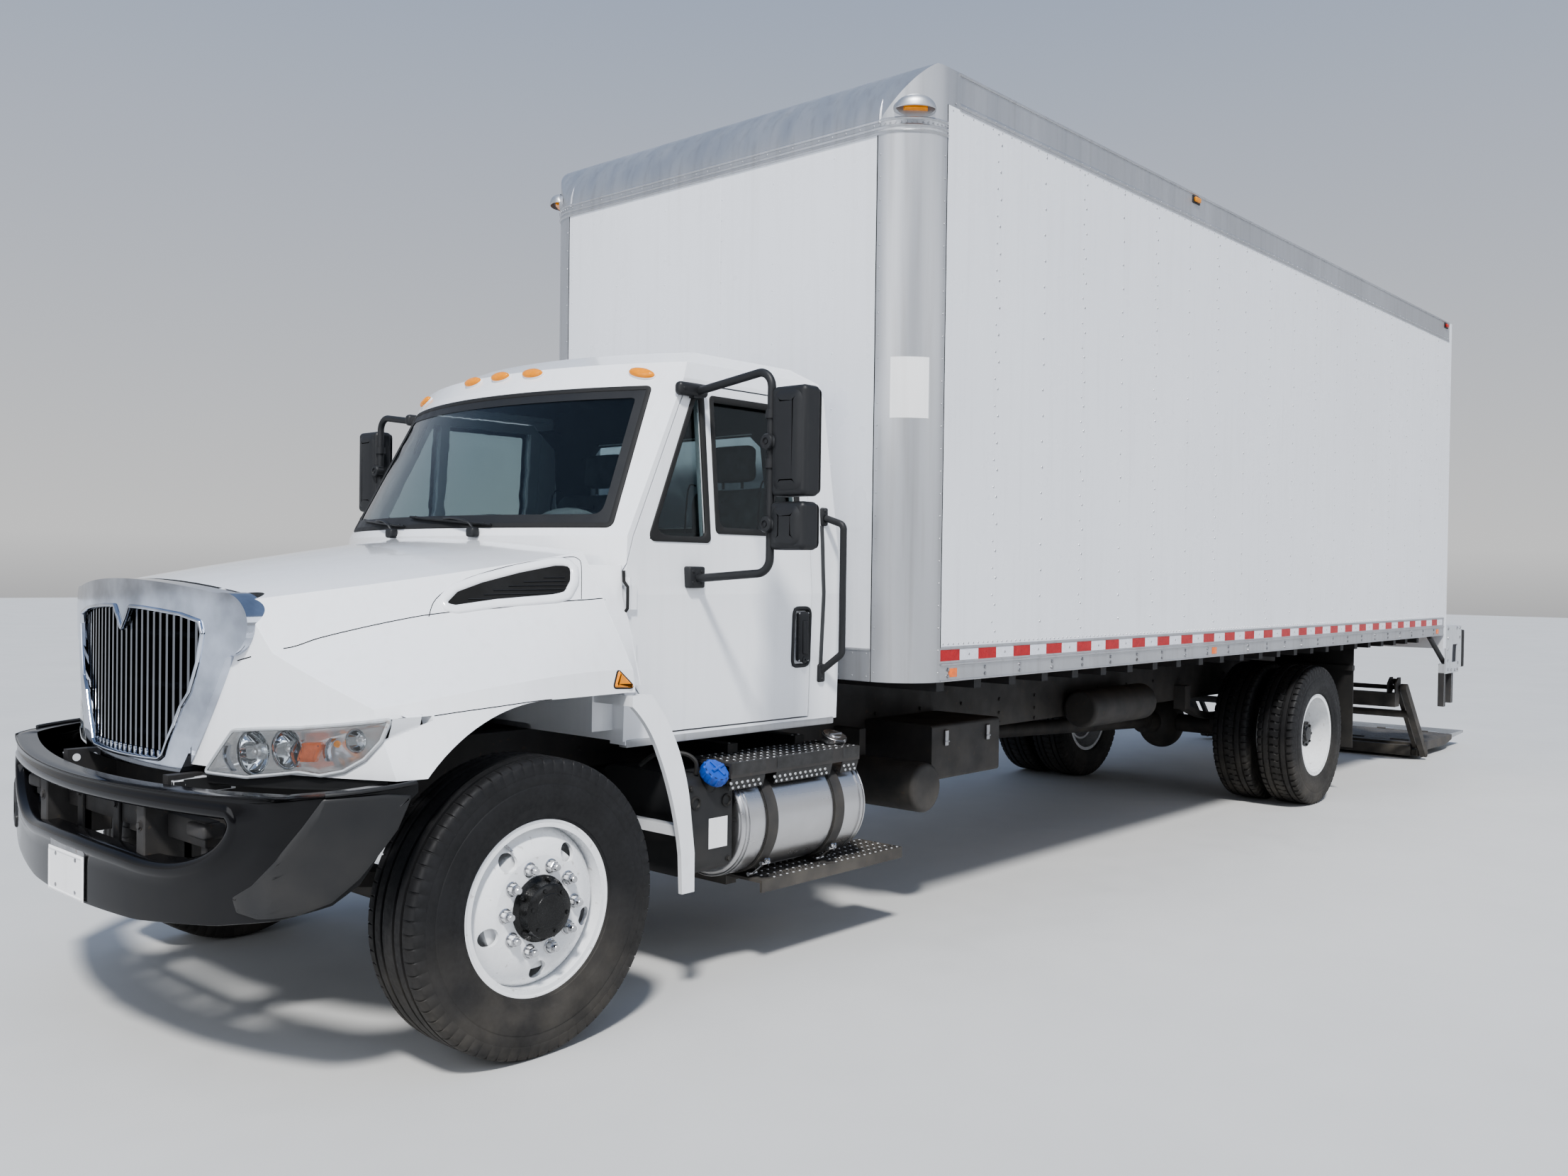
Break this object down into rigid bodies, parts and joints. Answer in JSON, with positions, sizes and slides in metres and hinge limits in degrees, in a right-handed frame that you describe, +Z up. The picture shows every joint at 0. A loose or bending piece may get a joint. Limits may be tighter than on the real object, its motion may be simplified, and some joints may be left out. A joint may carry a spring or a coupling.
{
  "type": "box truck",
  "caption": "Conventional-cab medium-duty delivery truck with an aluminium van body, tilting hood, tanks and steps, and a lowered folding liftgate at the rear.",
  "frame": {"origin": "on the ground, under the middle of the bounding box", "axes": "+X forward (the way it drives), +Y left, +Z up; symmetric about Y = 0 in outline"},
  "size_m": [12.735, 3.08, 3.9399],
  "materials": {
    "cab_white": "gloss white paint",
    "body_white": "white painted riveted panel",
    "body_aluminium": "extruded, dull",
    "frame_black": "black chassis paint",
    "black_plastic": "textured black",
    "grille_chrome": "polished",
    "tank_aluminium": "bare, brushed",
    "bare_steel": "bare",
    "gate_steel": "worn tread plate",
    "gate_white": "galvanised or light paint",
    "wheel_white": "white enamel",
    "tyre": "road worn",
    "black_rubber": "moulded",
    "window_glass": "tinted",
    "lamp_glass": "clear lens",
    "amber_lens": "amber lens",
    "seat_fabric": "woven",
    "floor_wood": "laminated hardwood"
  },
  "bodies": {
    "chassis": {"frame_rails": "frame_black", "front_axle": "frame_black", "rear_axle": "frame_black", "engine_block": "frame_black", "exhaust": "bare_steel", "fuel_tank": "tank_aluminium", "cab_steps": "frame_black", "def_tank": "black_plastic", "battery_box": "frame_black", "mud_flaps": "black_rubber", "cab_shell": "cab_white", "cab_glass": "window_glass", "grab_handles": "black_plastic", "seats": "seat_fabric", "dashboard": "black_plastic", "splash_panels": "cab_white", "front_bumper": "black_plastic", "body_frame": "body_aluminium", "body_panels": "body_white", "load_floor": "floor_wood", "floor_sills": "frame_black", "rear_frame": "body_white", "rollup_door": "body_white", "marker_lamps": "amber_lens", "lift_frame": "frame_black", "bed_extension": "gate_white"},
    "left_knuckle": {"knuckle_left": "frame_black"},
    "right_knuckle": {"knuckle_right": "frame_black"},
    "front_left_wheel": {"front_rim_left": "wheel_white", "front_tyre_left": "tyre"},
    "front_right_wheel": {"front_rim_right": "wheel_white", "front_tyre_right": "tyre"},
    "rear_left_wheels": {"rear_rims_left": "wheel_white", "rear_tyres_left": "tyre"},
    "rear_right_wheels": {"rear_rims_right": "wheel_white", "rear_tyres_right": "tyre"},
    "left_door": {"door_left": "cab_white", "door_glass_left": "window_glass", "mirror_left": "black_plastic"},
    "right_door": {"door_right": "cab_white", "door_glass_right": "window_glass", "mirror_right": "black_plastic"},
    "hood": {"hood_shell": "cab_white", "grille_surround": "grille_chrome", "grille_bars": "black_plastic", "headlamps": "lamp_glass"},
    "arms": {"lift_arms": "frame_black"},
    "links": {"lift_links": "frame_black"},
    "carrier": {"platform_carrier": "frame_black"},
    "fold_platform": {"platform": "gate_steel"},
    "flip_section": {"flip_plate": "tank_aluminium"},
    "cylinders": {"lift_cylinders": "frame_black"},
    "rods": {"lift_rods": "bare_steel"}
  },
  "joints": [
    {"name": "steer_left", "type": "hinge", "parent": "chassis", "child": "left_knuckle", "pos_m": [5.3135, 0.88, 0.505], "axis": [0, 0, 1], "range_deg": [-40, 40]},
    {"name": "steer_right", "type": "hinge", "parent": "chassis", "child": "right_knuckle", "pos_m": [5.3135, -0.88, 0.505], "axis": [0, 0, 1], "range_deg": [-40, 40]},
    {"name": "spin_front_left", "type": "hinge", "parent": "left_knuckle", "child": "front_left_wheel", "pos_m": [5.3135, 1.05, 0.505], "axis": [0, 1, 0], "continuous": true},
    {"name": "spin_front_right", "type": "hinge", "parent": "right_knuckle", "child": "front_right_wheel", "pos_m": [5.3135, -1.05, 0.505], "axis": [0, 1, 0], "continuous": true},
    {"name": "spin_rear_left", "type": "hinge", "parent": "chassis", "child": "rear_left_wheels", "pos_m": [-1.6945, 1.09, 0.505], "axis": [0, 1, 0], "continuous": true},
    {"name": "spin_rear_right", "type": "hinge", "parent": "chassis", "child": "rear_right_wheels", "pos_m": [-1.6945, -1.09, 0.505], "axis": [0, 1, 0], "continuous": true},
    {"name": "open_left_door", "type": "hinge", "parent": "chassis", "child": "left_door", "pos_m": [4.7945, 1.012, 1.3], "axis": [0, 0, -1], "range_deg": [0, 60]},
    {"name": "open_right_door", "type": "hinge", "parent": "chassis", "child": "right_door", "pos_m": [4.7945, -1.012, 1.3], "axis": [0, 0, 1], "range_deg": [0, 60]},
    {"name": "tilt_hood", "type": "hinge", "parent": "chassis", "child": "hood", "pos_m": [6.2025, 0, 0.935], "axis": [0, 1, 0], "range_deg": [0, 60]},
    {"name": "lift_platform", "type": "hinge", "parent": "chassis", "child": "arms", "pos_m": [-4.2475, 0, 0.69], "axis": [0, 1, 0], "range_deg": [0, 79.15]},
    {"name": "swing_links", "type": "hinge", "parent": "chassis", "child": "links", "pos_m": [-4.2535, 0, 0.75], "axis": [0, 1, 0], "range_deg": [0, 79.35]},
    {"name": "level_platform", "type": "hinge", "parent": "arms", "child": "carrier", "pos_m": [-4.84169, 0, 0.06], "axis": [0, 1, 0], "range_deg": [-79.35, 0]},
    {"name": "fold_platform_up", "type": "hinge", "parent": "carrier", "child": "fold_platform", "pos_m": [-5.0195, 0, 0.143], "axis": [0, 1, 0], "range_deg": [0, 90]},
    {"name": "fold_flip_section", "type": "hinge", "parent": "fold_platform", "child": "flip_section", "pos_m": [-5.9095, 0, 0.143], "axis": [0, 1, 0], "range_deg": [0, 180]},
    {"name": "pitch_cylinders", "type": "hinge", "parent": "chassis", "child": "cylinders", "pos_m": [-3.7075, 0, 0.7], "axis": [0, 1, 0], "range_deg": [0, 2.57]},
    {"name": "pull_rods", "type": "slide", "parent": "cylinders", "child": "rods", "axis": [0.9912, 0, -0.1326], "range_m": [0, 0.1521]}
  ],
  "couplings": [
    {"joint": "steer_right", "follows": "steer_left", "ratio": 1},
    {"joint": "swing_links", "follows": "lift_platform", "ratio": 1},
    {"joint": "level_platform", "follows": "lift_platform", "ratio": -1},
    {"joint": "pitch_cylinders", "follows": "lift_platform", "ratio": 0.03119},
    {"joint": "pull_rods", "follows": "lift_platform", "m_per_rad": 0.10939}
  ]
}
